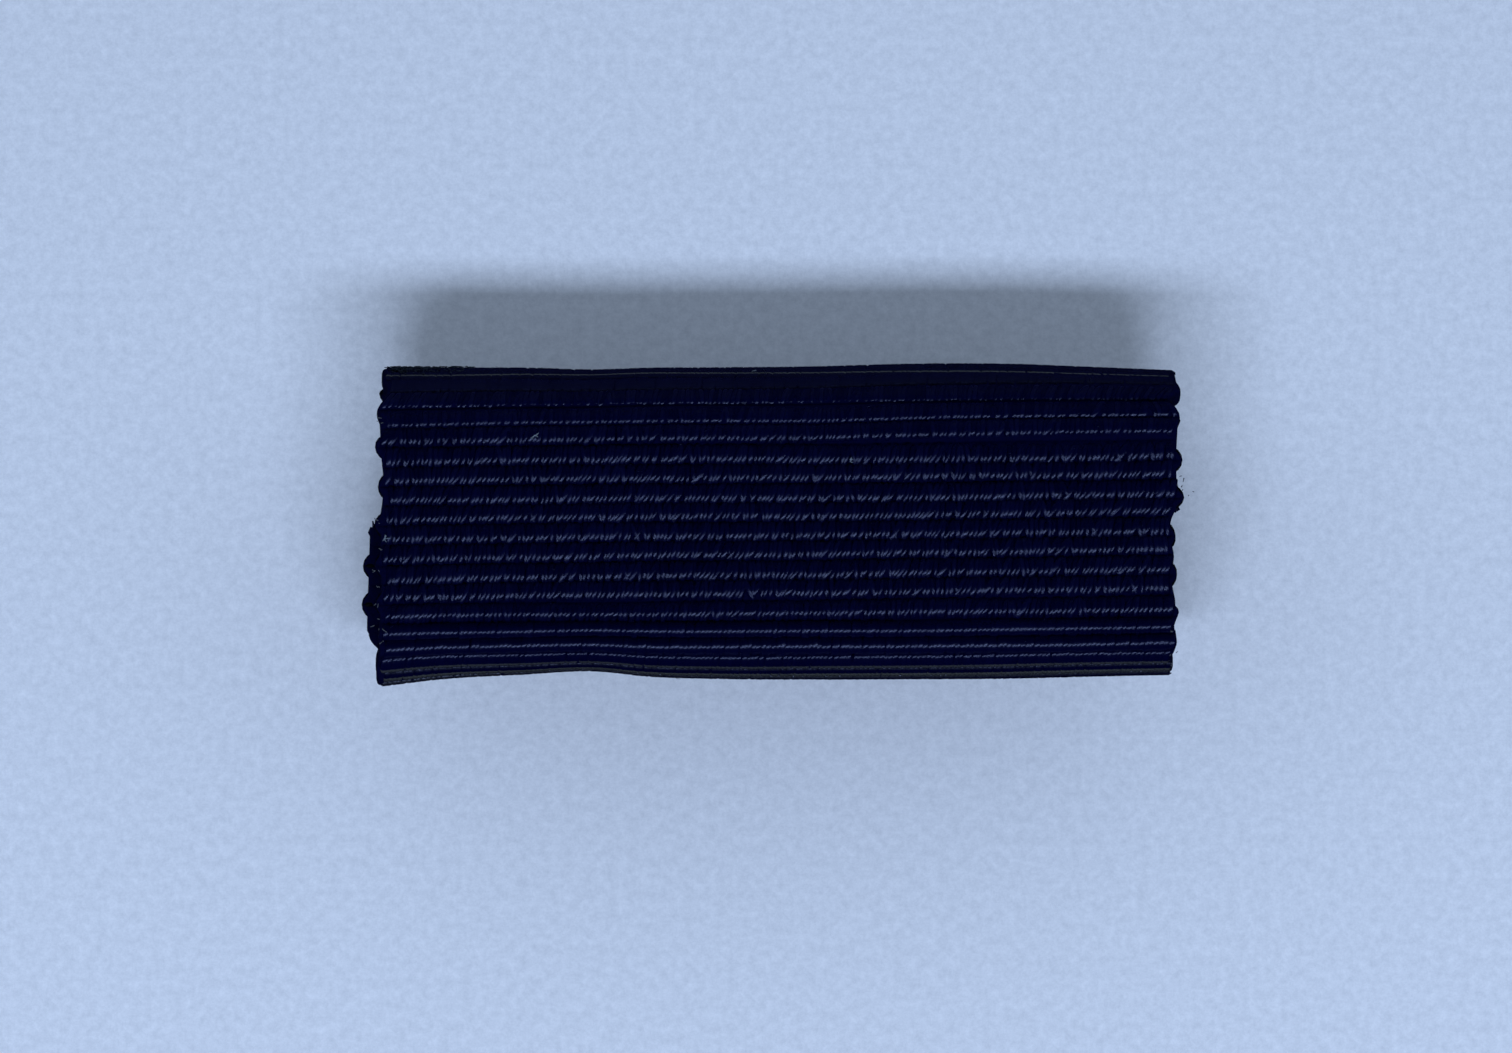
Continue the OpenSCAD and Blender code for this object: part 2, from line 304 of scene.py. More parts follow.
def uneven_place(rib, u):
    """How far a rib lies below its even place at u, in millimetres: the chart's values at the
    four stations, joined by straight lines between stations and between ribs, and none beyond."""
    weights = [np.interp(u, RIB_STATIONS, row) for row in np.eye(len(RIB_STATIONS))]
    values = [np.interp(rib, RIB_ROWS[:, 0], RIB_ROWS[:, k + 1], left=0, right=0)
              for k in range(len(RIB_STATIONS))]
    return sum(weight * value for weight, value in zip(weights, values))


def rib_drop(settings, t, folded, power=2.0, pulled=0.0):
    """How far the cloth's face lies below a rib's crest at t, which runs from -1 to 1 from groove
    to groove: an arch * |t|^power that is higher where the ribbon is folded, and a groove * t^8.
    Both are less where the ribbon is pulled smooth. The upper fold keeps the face's low arch, so
    folded is 0 there."""
    arch = settings.arch + (settings.fold_arch - settings.arch) * folded
    return (arch * np.abs(t) ** power + settings.groove * t ** 8) * (1 - pulled)


def ripple(rng, shortest, longest, count=7):
    """A smooth function of x and rib number, whose mean square is 1: the sum of sine waves along
    x, of lengths between shortest and longest, each with a phase that jumps from rib to rib."""
    wave = 2 * math.pi / rng.uniform(shortest, longest, count)
    jump = rng.uniform(1, 6, count)
    phase = rng.uniform(0, 2 * math.pi, count)

    def at(x, rib):
        angles = x[..., None] * wave + np.asarray(rib)[..., None] * jump + phase
        return np.sin(angles).sum(-1) * math.sqrt(2 / count)

    return at


def tube_faces(rings, ends="caps"):
    """Faces and their UV corners for tubes of points (tube, ring, side, 3): quads between the
    rings, and either one cap across each end or, for a flat section, a strip of quads."""
    n, r, m = rings.shape[:3]
    index = np.arange(n * r * m).reshape(n, r, m)
    ahead = np.roll(index, -1, axis=2)
    quads = np.stack([index[:, :-1], ahead[:, :-1], ahead[:, 1:], index[:, 1:]], -1).reshape(-1, 4)
    around = np.broadcast_to(np.arange(m) / m, (n, r - 1, m))
    along = np.broadcast_to(np.arange(r - 1)[:, None], (n, r - 1, m))
    corners = [(0, 0), (1 / m, 0), (1 / m, 1), (0, 1)]
    uv = np.stack([np.stack([around + du, along + dv], -1) for du, dv in corners], -2)
    uv = uv.reshape(-1, 4, 2)
    if ends == "caps":
        last = [index[:, 0, ::-1].reshape(-1, m), index[:, -1].reshape(-1, m)]
        return [(quads, uv)] + [(cap, np.zeros((*cap.shape, 2))) for cap in last]
    half = np.arange(m // 2 - 1)
    strip = np.stack([half, half + 1, m - 2 - half, m - 1 - half], -1)
    first, final = index[0, 0][strip][:, ::-1], index[0, -1][strip]
    return [(quads, uv), (first, np.zeros((*first.shape, 2))), (final, np.zeros((*final.shape, 2)))]


def sweep(path, radius, sides, up=(0, 0, 1)):
    """Rings round each path of points (tube, ring, 3): the circle radius * (cos a, sin a) across
    the path's direction, with its second axis towards `up`."""
    direction = np.gradient(path, axis=1)
    across = np.cross(direction, np.broadcast_to(up, path.shape))
    across /= np.linalg.norm(across, axis=-1, keepdims=True)
    over = np.cross(across, direction)
    over /= np.linalg.norm(over, axis=-1, keepdims=True)
    angle = 2 * math.pi * np.arange(sides) / sides
    radius = np.broadcast_to(radius, path.shape[:2])[..., None, None]
    return (path[:, :, None] + radius * (np.cos(angle)[:, None] * across[:, :, None]
                                         + np.sin(angle)[:, None] * over[:, :, None]))


def volume(points, faces):
    """Signed volume of a closed mesh: a sixth of the sum of a . (b x c) over its fans."""
    total = 0.0
    for face, _ in faces:
        corner = points[face]
        for k in range(1, face.shape[1] - 1):
            total += np.einsum("ij,ij->", corner[:, 0], np.cross(corner[:, k], corner[:, k + 1]))
    return total / 6


def put(name, data):
    """An object with this data, in the scene."""
    thing = bpy.data.objects.new(name, data)
    bpy.context.scene.collection.objects.link(thing)
    return thing


def new_piece(name, points, material, ends="caps", slot="corded_ribbon", **values):
    """A smooth mesh object at the origin that rides on the part, made of tubes of points (tube,
    ring, side, 3), with named values at its points. Faces that come out pointing inwards are
    turned round."""
    faces = tube_faces(points, ends)
    values = {label: np.broadcast_to(value, points.shape[:3]) for label, value in values.items()}
    points = points.reshape(-1, 3)
    if volume(points, faces) < 0:
        faces = [(face[:, ::-1], uv[:, ::-1]) for face, uv in faces]
    sizes = np.concatenate([np.full(len(face), face.shape[1]) for face, _ in faces])
    mesh = bpy.data.meshes.new(name)
    mesh.vertices.add(len(points))
    mesh.vertices.foreach_set("co", points.astype(np.float32).ravel())
    mesh.loops.add(int(sizes.sum()))
    order = np.concatenate([face.ravel() for face, _ in faces])
    mesh.loops.foreach_set("vertex_index", order.astype(np.int32))
    mesh.polygons.add(len(sizes))
    mesh.polygons.foreach_set("loop_start", (np.cumsum(sizes) - sizes).astype(np.int32))
    mesh.update(calc_edges=True)
    layer = mesh.uv_layers.new(name="yarn")
    unrolled = np.concatenate([uv.ravel() for _, uv in faces])
    layer.uv.foreach_set("vector", unrolled.astype(np.float32))
    for label, value in values.items():
        attribute = mesh.attributes.new(label, "FLOAT", "POINT")
        attribute.data.foreach_set("value", value.astype(np.float32).ravel())
    mesh.shade_smooth()
    mesh.materials.append(material)
    piece = put(name, mesh)
    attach(piece, ROOT)
    return piece


def laid_cords(name, wrap, path, radius, sides, material, up=(0, 0, 1), **values):
    """A piece of round cords that follow paths (x, s, h) on the unrolled ribbon, laid round the
    bar with it."""
    rings = sweep(np.stack(np.broadcast_arrays(*path), -1), radius, sides, up)
    return new_piece(name, wrap.place(*np.moveaxis(rings, -1, 0)), material, **values)


def add(tree, kind, values=None, links=None):
    """Adds a shader node to a tree, sets its properties and socket values, and links its inputs."""
    node = tree.nodes.new("Shader" + kind)
    for key, value in (values or {}).items():
        if isinstance(key, int) or key in node.inputs:
            node.inputs[key].default_value = value
        else:
            setattr(node, key, value)
    for key, source in (links or {}).items():
        tree.links.new(source, node.inputs[key])
    return node


def new_material(name, **values):
    """A material whose Principled shader has these socket values, underscores for spaces."""
    material = bpy.data.materials.new(name)
    material.use_nodes = True
    shader = material.node_tree.nodes["Principled BSDF"]
    for key, value in values.items():
        shader.inputs[key.replace("_", " ")].default_value = value
    return material, material.node_tree, shader


def rgba(tone, share=1.0):
    """A colour times a share, no part of it above 1, with full alpha."""
    return (*(min(1.0, share * v) for v in tone), 1.0)


def dress(tree, shader, factor, tones, height, strength, depth_mm):
    """Colours a shader from the first tone to the second as one pattern rises, and gives it the
    relief of a pattern, which may be the same one."""
    base = add(tree, "NodeMix", {"data_type": "RGBA", "A": tones[0], "B": tones[1]},
               {"Factor": factor})
    bump = add(tree, "NodeBump", {"Strength": strength, "Distance": depth_mm * MM},
               {"Height": height})
    tree.links.new(base.outputs["Result"], shader.inputs["Base Color"])
    tree.links.new(bump.outputs["Normal"], shader.inputs["Normal"])


def warp_yarn(settings):
    """Navy rayon warp yarn, twisted from bright filaments: a small clear highlight that breaks
    up along the twist. On the folds its colour is painted paler in thin lines and bands: painted
    reflections of the paper and painted highlight lines, partly dusting and wear."""
    material, tree, shader = new_material(YARN_FINISH, IOR=1.388,
                                          Specular_Tint=rgba(srgb("#d4dcff")))
    uv = add(tree, "NodeUVMap", {"uv_map": "yarn"})
    tint = add(tree, "NodeAttribute", {"attribute_name": "tint"})
    twist = add(tree, "NodeMapping", {"Rotation": (0, 0, 0.5), "Scale": (5, 1.2, 1)},
                {"Vector": uv.outputs["UV"]})
    filament = add(tree, "NodeTexWave", {"Scale": 1.0, "Distortion": 1.5, "Detail": 1.0},
                   {"Vector": twist.outputs["Vector"]})
    tones = {"A": rgba(settings.yarn_colour, 0.75), "B": rgba(settings.yarn_colour, 1.25)}
    base = add(tree, "NodeMix", {"data_type": "RGBA", **tones}, {"Factor": tint.outputs["Fac"]})
    rib = add(tree, "NodeAttribute", {"attribute_name": "rib"})
    # The ramp paints pale lines and bands on the folds by rib number: painted reflections of the
    # paper and painted highlight lines, partly dusting and wear
    first, last = DUST_AND_REFLECTION_ROWS[0][0], DUST_AND_REFLECTION_ROWS[-1][0]
    along = add(tree, "NodeMapRange", {"From Min": first, "From Max": last},
                {"Value": rib.outputs["Fac"]})
    dust_and_reflection = add(tree, "NodeValToRGB", None, {"Fac": along.outputs["Result"]})
    stops = dust_and_reflection.color_ramp.elements
    for place, share in DUST_AND_REFLECTION_ROWS[1:-1]:
        stops.new((place - first) / (last - first)).color = rgba([share] * 3)
    stops[0].color = rgba([DUST_AND_REFLECTION_ROWS[0][1]] * 3)
    stops[-1].color = rgba([DUST_AND_REFLECTION_ROWS[-1][1]] * 3)
    uneven = add(tree, "NodeMapRange", {"To Min": 0.75, "To Max": 1.2},
                 {"Value": tint.outputs["Fac"]})
    share = add(tree, "NodeMath", {"operation": "MULTIPLY", "use_clamp": True},
                {0: dust_and_reflection.outputs["Color"], 1: uneven.outputs["Result"]})
    dusted_and_reflecting = add(tree, "NodeMix", {"data_type": "RGBA", "B": rgba(settings.dust_and_reflection_colour)},
                {"Factor": share.outputs["Value"], "A": base.outputs["Result"]})
    gloss = add(tree, "NodeMapRange", {"To Min": 0.2, "To Max": 0.3},
                {"Value": tint.outputs["Fac"]})
    bump = add(tree, "NodeBump", {"Strength": 0.35, "Distance": 0.01 * MM},
               {"Height": filament.outputs["Fac"]})
    tree.links.new(gloss.outputs["Result"], shader.inputs["Roughness"])
    tree.links.new(dusted_and_reflecting.outputs["Result"], shader.inputs["Base Color"])
    tree.links.new(bump.outputs["Normal"], shader.inputs["Normal"])
    return material


def rep_ground(settings):
    """Navy rep ground, the cloth in the grooves and under the yarns: matt, with the fine grain of
    the yarns that lie deeper."""
    material, tree, shader = new_material("Navy rep ground", Roughness=0.8, IOR=1.1)
    place = add(tree, "NodeTexCoord")
    grain = add(tree, "NodeTexNoise", {"Scale": 1 / (0.12 * MM), "Detail": 3.0},
                {"Vector": place.outputs["Object"]}).outputs["Fac"]
    tones = rgba(settings.ground_colour, 0.4), rgba(settings.ground_colour, 1.6)
    dress(tree, shader, grain, tones, grain, 0.5, 0.03)
    return material


def cotton_cord(name, tone, plies):
    """Dyed cotton cord or thread, twisted from plies: matt, with the plies as a slanted relief."""
    material, tree, shader = new_material(name, Roughness=0.7, IOR=1.15)
    uv = add(tree, "NodeUVMap", {"uv_map": "yarn"})
    twist = add(tree, "NodeMapping", {"Rotation": (0, 0, 0.6), "Scale": (plies, 1, 1)},
                {"Vector": uv.outputs["UV"]})
    ply = add(tree, "NodeTexWave", {"Scale": 0.5, "Distortion": 0.8, "Detail": 2.0},
              {"Vector": twist.outputs["Vector"]}).outputs["Fac"]
    dress(tree, shader, ply, (rgba(tone, 0.5), rgba(tone, 1.3)), ply, 0.6, 0.03)
    return material


def sheet_metal(name, code, rough, grain_mm, tarnish_code):
    """Rolled and stamped sheet metal: fine rolling lines along X that spread the highlight, and
    a thin tarnish that is thickest in broad patches."""
    material, tree, shader = new_material(name, Metallic=1.0)
    place = add(tree, "NodeTexCoord")
    lines = add(tree, "NodeMapping", {"Scale": (0.04, 1, 1)}, {"Vector": place.outputs["Object"]})
    rolling = add(tree, "NodeTexNoise", {"Scale": 1 / (grain_mm * MM), "Detail": 4.0},
                  {"Vector": lines.outputs["Vector"]})
    patch = add(tree, "NodeTexNoise", {"Scale": 1 / (3.5 * MM), "Detail": 5.0, "Roughness": 0.6},
                {"Vector": place.outputs["Object"]})
    share = add(tree, "NodeMapRange", {"From Min": 0.45, "From Max": 0.75},
                {"Value": patch.outputs["Fac"]})
    gloss = add(tree, "NodeMapRange", {"To Min": rough, "To Max": rough + 0.22},
                {"Value": patch.outputs["Fac"]})
    tree.links.new(gloss.outputs["Result"], shader.inputs["Roughness"])
    tones = rgba(srgb(code)), rgba(srgb(tarnish_code))
    dress(tree, shader, share.outputs["Result"], tones, rolling.outputs["Fac"], 0.25, 0.01)
    return material


def paper(tone):
    """Smooth cartridge paper: matt, with a fine felt grain 0.45 mm wide that is drawn a little
    deeper than the real one so that it shows."""
    material, tree, shader = new_material("Smooth cartridge paper", Roughness=0.9,
                                          Specular_IOR_Level=0.1)
    place = add(tree, "NodeTexCoord")
    felt = add(tree, "NodeTexNoise", {"Scale": 1 / (0.45 * MM), "Detail": 5.0, "Roughness": 0.85},
               {"Vector": place.outputs["Object"]}).outputs["Fac"]
    dress(tree, shader, felt, (rgba(tone, 0.68), rgba(tone, 1.32)), felt, 0.5, 0.02)
    return material


EDGE_ROUNDING = 0.24 * MM  # how far in from a selvedge the cloth's edge begins to round


def cloth_section(settings):
    """Section of the ribbon across its width, as a closed loop from the left edge over the
    outer face and back under it: x, and share of the thickness, 1 outside and -1 inside. The two
    selvedges are rounded rectangles: x by the root of a sine, thickness by that of a cosine."""
    flat = np.linspace(-1, 1, 97) * (settings.width / 2 - EDGE_ROUNDING)
    angle = np.radians([20, 45, 70, 86])
    right = settings.width / 2 - EDGE_ROUNDING * (1 - np.sqrt(np.sin(angle)))
    edge = np.sqrt(np.cos(angle))
    x = np.concatenate([-right[::-1], flat, right])
    share = np.concatenate([edge[::-1], np.ones(len(flat)), edge])
    return np.concatenate([x, x[::-1]]), np.concatenate([share, -share[::-1]])


def cord_turn(settings, rib, side, folded):
    """How far the cord's turn stands out at a rib number: a half wave at every other groove, on
    the right selvedge and the left one by turns, and mostly pulled in where the ribbon is bent."""
    ends = ease((settings.ribs_down - 0.5 - rib) * 2) * ease((settings.ribs_up + 0.5 + rib) * 2)
    wave = np.maximum(0, -side * np.sin(math.pi * rib))
    return settings.turn_out * wave * (1 - TURN_PULL * folded) * ends


class RIBBON_OT_cloth(Operator):
    """Weaves the ribbon's ground and wraps it round the bar"""

    bl_idname = "ribbon_bar.cloth"
    bl_label = "Ribbon Cloth"

    def execute(self, context):
        """The closed section is carried along the ribbon in eight steps to a rib. Its thickness
        follows the ribs on both faces, and its outer face is sunk a little to lie under the yarns.
        Near a selvedge it widens into the turns of the cords."""
        settings = context.scene.ribbon_bar
        wrap = Wrap(settings)
        step = np.array([-1.0, -0.9, -0.7, -0.4, 0.0, 0.4, 0.7, 0.9]) / 2
        whole = np.arange(-settings.ribs_up, settings.ribs_down)
        rib = np.append((whole[:, None] + step).ravel(), settings.ribs_down - 0.5)
        x, share = cloth_section(settings)
        x, share, rib = x[None, :], share[None, :], rib[:, None]
        s = wrap.line(rib, x)
        outer, folded, border = share > 0, wrap.folded(s), 0.8 * MM
        t = 2 * (rib - np.floor(rib + 0.5))
        drop = rib_drop(settings, t, folded * (s > 0) * outer, pulled=wrap.pulled(rib) * outer)
        sunk = np.where(outer, 0.1 * MM * (1 - 0.6 * folded), 0)
        h = share * (settings.thickness / 2 - drop - sunk)
        near_edge = ease((np.abs(x) - settings.width / 2 + border) / border)
        out = 0.9 * near_edge * cord_turn(settings, rib, np.sign(x), folded)
        points = wrap.place(x + np.sign(x) * out, s, h)[None]
        piece = new_piece("ribbon_cloth", points, rep_ground(settings), ends="strip")
        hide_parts("ribbon")
        return {"FINISHED"}


# Section of a warp yarn lying on the cloth: place across it as a share of its half width, and
# depth below its ridge as a share of its rise; its foot is sunk in the ground
YARN_SECTION = np.array([[-1.0, 1.4], [-0.45, 0.46], [0.0, 0.0], [0.45, 0.46], [1.0, 1.4]])
FOOT_SUNK = 0.07 * MM
# Rings of a yarn between the grooves, from -1 to 1, reaching a little past them
YARN_RINGS = np.array([-1.05, -0.88, -0.6, -0.2, 0.2, 0.6, 0.88, 1.05])
# The yarns keep this far from a selvedge
YARN_MARGIN = 0.1 * MM

# How uneven the yarns are, each as a standard deviation: place, as a share of the pitch; rise,
# width and arch, as shares of themselves; lift, in metres; slant and lean, as slopes; shift along
# the rib, as a share of its half; and how blunt the crest is, as a share of roundness
UNEVEN = {"place": 0.12, "rise": 0.15, "lift": 0.008 * MM, "slant": 0.26, "shift": 0.08,
          "crest": 0.22, "width": 0.08, "arch": 0.14, "lean": 0.12}
# Rib numbers: above the first the upper fold turns under, and its yarns lie pressed as the lower
# fold's do, where they are pressed a little at first and in full soon after the second
UPPER_TURN, LOWER_TURN = -6.4, 5
# The right ends of the ribs lie pressed from this x in millimetres, and from this rib number down
PRESSED_X, PRESSED_RIB = 14.5, 0.5

# Pale lines and bands painted on the folded edges, mostly painted reflections of the paper and
# painted highlight lines, partly dusting and wear: place as a rib number with fractions, and share
# of the pale colour there
DUST_AND_REFLECTION_ROWS = [
    (-9.5, 0.05), (-7.89, 0.05), (-7.86, 1.0), (-7.79, 1.0), (-7.74, 0.04), (-6.62, 0.03),
    (-6.55, 0.1), (-6.48, 0.1), (-6.42, 0.02), (-5.6, 0.0), (7.28, 0.0), (7.34, 0.04), (7.40, 0.0),
    (8.2, 0.0), (8.27, 0.6), (8.40, 0.6), (8.46, 0.2), (8.6, 0.16), (8.66, 0.0), (8.92, 0.0),
    (8.98, 0.85), (9.13, 0.8), (9.2, 0.5), (9.5, 0.48), (9.65, 0.22), (9.9, 0.03), (11.0, 0.0),
]

YARN_PIECES = ("warp_yarns_upper", "warp_yarns_middle", "warp_yarns_lower")


class RIBBON_OT_yarns(Operator):
    """Lays the warp yarns over every rib, from groove to groove"""

    bl_idname = "ribbon_bar.yarns"
    bl_label = "Warp Yarns"

    def floats(self, settings, wrap, rng, ribs):
        """Points of all yarns over these ribs, with their tints and their places as rib numbers.
        Each follows the rib's profile from groove to groove on a slant, and its section is a low
        arch. Yarns of neighbouring ribs stand half a pitch aside, and each is a little uneven. In
        stretches, on the folds and at the right ends of the lower ribs they are pressed flat. The
        upper fold's ribs are higher and blunter, and the lower fold's sway a little in height."""
        reach = settings.width / 2 - YARN_MARGIN
        yarns = np.arange(-int(reach / settings.yarn_pitch), int(reach / settings.yarn_pitch) + 1)
        rib, yarn = (a.ravel()[:, None, None] for a in np.meshgrid(ribs, yarns, indexing="ij"))
        count = len(rib)

        def uneven(name, scale=1.0):
            return rng.normal(0, UNEVEN[name] * scale, (count, 1, 1))

        middle = (yarn + 0.5 * (rib % 2)) * settings.yarn_pitch
        middle = middle + uneven("place", settings.yarn_pitch)
        middle = np.clip(middle, -reach, reach)
        folded = wrap.folded(wrap.line(rib, middle))
        turned = ease((UPPER_TURN - rib) / 0.5) * folded
        upper = np.where(rib > 0, 0, folded - turned)
        lower = np.where(rib > 0, folded * (0.2 + 0.8 * ease((rib - LOWER_TURN) / 1.5)), turned)
        ended = ease((middle / MM - PRESSED_X) / 0.9) * ease(rib - PRESSED_RIB)

        pressed = ripple(rng, 1.0 * MM, 3.5 * MM)(middle, rib)
        sway = ripple(np.random.default_rng(settings.seed + 3), 0.5 * MM, 1.4 * MM)(middle, rib)
        roundness = np.clip(1.0 + 0.35 * pressed, 0.35, 1.15) * (1 - 0.78 * lower - 0.15 * upper)
        roundness = roundness * (1 - 0.75 * ended)
        rise = settings.yarn_rise * roundness * (1 + np.clip(uneven("rise"), -0.4, 0.4))
        calm = (1 - 0.4 * lower - 0.15 * upper) * (0.35 + 0.65 * np.clip(roundness, 0, 1))
        calm = calm * (1 - 0.7 * ended)
        lift = np.clip(uneven("lift"), -0.03 * MM, 0.012 * MM) * calm
        slant = settings.yarn_slant * (0.35 + 0.65 * roundness) + uneven("slant") * calm
        t = YARN_RINGS[None, :, None] + uneven("shift") * calm
        power = 2.5 - 0.9 * np.clip(roundness + uneven("crest"), 0, 1.1) * (1 - lower)
        power = power + (3.5 - power) * upper

        side, depth = YARN_SECTION[None, None].transpose(3, 0, 1, 2)
        across = side * settings.yarn_pitch * (0.85 + 0.15 * lower)
        across = across * (1 - 0.15 * t ** 2) * (1 + np.clip(uneven("width"), -0.2, 0.2))
        run = t * settings.rib_pitch / 2
        x = middle - slant * run + across
        s = wrap.line(rib, x) + run + slant * across
        arch = 1 + 0.46 * upper + np.clip(uneven("arch"), -0.3, 0.3) * calm + 0.13 * sway * lower
        place = rib + t / 2
        drop = rib_drop(settings, t, np.where(rib > 0, folded, 0), power, wrap.pulled(place))
        top = settings.thickness / 2 - arch * drop + lift
        lean = uneven("lean") * calm * across
        h = top + lean - depth * rise - FOOT_SUNK * (depth > 1)
        tint = 0.5 + rng.uniform(-0.5, 0.5, (count, 1, 1)) * (1 - 0.65 * lower)
        return wrap.place(x, s, h), tint, place

    def execute(self, context):
        """The ribs are shared out between three pieces, from the upper cut end to the lower."""
        settings = context.scene.ribbon_bar
        wrap = Wrap(settings)
        rng = np.random.default_rng(settings.seed)
        material = warp_yarn(settings)
        ribs = np.arange(-settings.ribs_up, settings.ribs_down)
        for name, chosen in zip(YARN_PIECES, np.array_split(ribs, len(YARN_PIECES))):
            points, tint, place = self.floats(settings, wrap, rng, chosen)
            new_piece(name, points, material, tint=tint, rib=place)
        return {"FINISHED"}


class RIBBON_OT_selvedges(Operator):
    """Turns the cords back at both selvedges"""

    bl_idname = "ribbon_bar.selvedges"
    bl_label = "Selvedge Turns"

    def execute(self, context):
        """Each turn is a cord bent round a groove from one rib to the next: x falls back from the
        turn's tip by bulge * (1 - cos a), s runs by half a pitch * sin a."""
        settings = context.scene.ribbon_bar
        wrap = Wrap(settings)
        radius, bulge, depth = 0.3 * MM, 0.6 * MM, 0.12 * MM
        rib = np.arange(-settings.ribs_up, settings.ribs_down - 1)[:, None] + 0.5
        side = np.where(np.floor(rib) % 2 == 0, -1.0, 1.0)
        angle = np.radians(np.linspace(-105, 105, 15))[None, :]
        pulled = TURN_PULL * wrap.folded(wrap.line(rib, 0.0))
        tip = settings.width / 2 + settings.turn_out * (1 - pulled) - radius
        x = side * (tip - bulge * (1 - np.cos(angle)))
        s = wrap.line(rib, x) + settings.rib_pitch * 0.5 * np.sin(angle)
        taper = 1 - 0.35 * (angle / angle.max()) ** 4
        material = cotton_cord("Navy cotton weft cord", settings.cord_colour, 3)
        laid_cords("selvedge_turns", wrap, (x, s, -depth), radius * taper, 10, material)
        return {"FINISHED"}


class RIBBON_OT_cut_ends(Operator):
    """Frays the two cut ends of the ribbon behind the bar"""

    bl_idname = "ribbon_bar.cut_ends"
    bl_label = "Cut Ends"

    def execute(self, context):
        """Two yarn ends for every warp yarn at each cut: they leave the cut face straight and bend
        aside by a curl that grows with the square of their length."""
        settings = context.scene.ribbon_bar
        wrap = Wrap(settings)
        rng = np.random.default_rng(settings.seed + 1)
        reach = settings.width / 2 - YARN_MARGIN
        x0 = np.tile(np.arange(-reach, reach, settings.yarn_pitch), 4)[:, None]
        x0 = x0 + rng.normal(0, 0.05 * MM, x0.shape)
        way = np.repeat([-1.0, 1.0, -1.0, 1.0], len(x0) // 4)[:, None]
        rib = np.where(way > 0, settings.ribs_down - 0.5, -settings.ribs_up - 0.5)
        long = rng.uniform(0.1, 0.38, x0.shape) ** 1.2 * MM
        t = np.linspace(-0.5, 1, 5)[None, :]
        curl = rng.normal(0, 0.5, (2, *x0.shape))
        x = x0 + curl[0] * long * np.maximum(t, 0) ** 2
        s = wrap.line(rib, x) + way * long * t
        h = rng.uniform(-0.3, 0.3, x0.shape) * MM + curl[1] * long * np.maximum(t, 0) ** 2
        radius = 0.045 * MM * (1.1 - 0.4 * np.maximum(t, 0))
        laid_cords("frayed_ends", wrap, (x, s, h), radius, 4, bpy.data.materials[YARN_FINISH],
                   tint=rng.uniform(0, 1, (len(x0), 1, 1)))
        return {"FINISHED"}


# Specks of lint: place across the ribbon, place down its length, in millimetres, and size
LINT_SPOTS = np.array([
    [-9.62, -3.46, 0.9], [3.01, -2.51, 0.8], [-15.62, 0.62, 1.1], [-0.91, -6.75, 0.8],
])
# Hairs stand up from the cloth, so the second axis of their sections is taken from this direction
HAIR_UP = (1, 0.3, 0)

# Where pale hairs paint glints on the weft's bends at the selvedges: x in millimetres and number of
# the rib
PAINTED_GLINT_BENDS = np.array([
    [-15.98, 0.25], [-15.90, 1.80], [-15.98, 2.75], [-15.85, 2.85], [-15.95, 3.75], [-15.95, 4.6],
    [-15.90, 5.35], [-15.7, 5.75], [-15.72, 6.3], [-15.8, -4.9], [-15.72, -4.8], [16.1, -1.55],
    [16.0, -0.95], [16.15, -0.75], [15.9, 6.4], [15.85, 7.6], [15.8, 8.6],
])


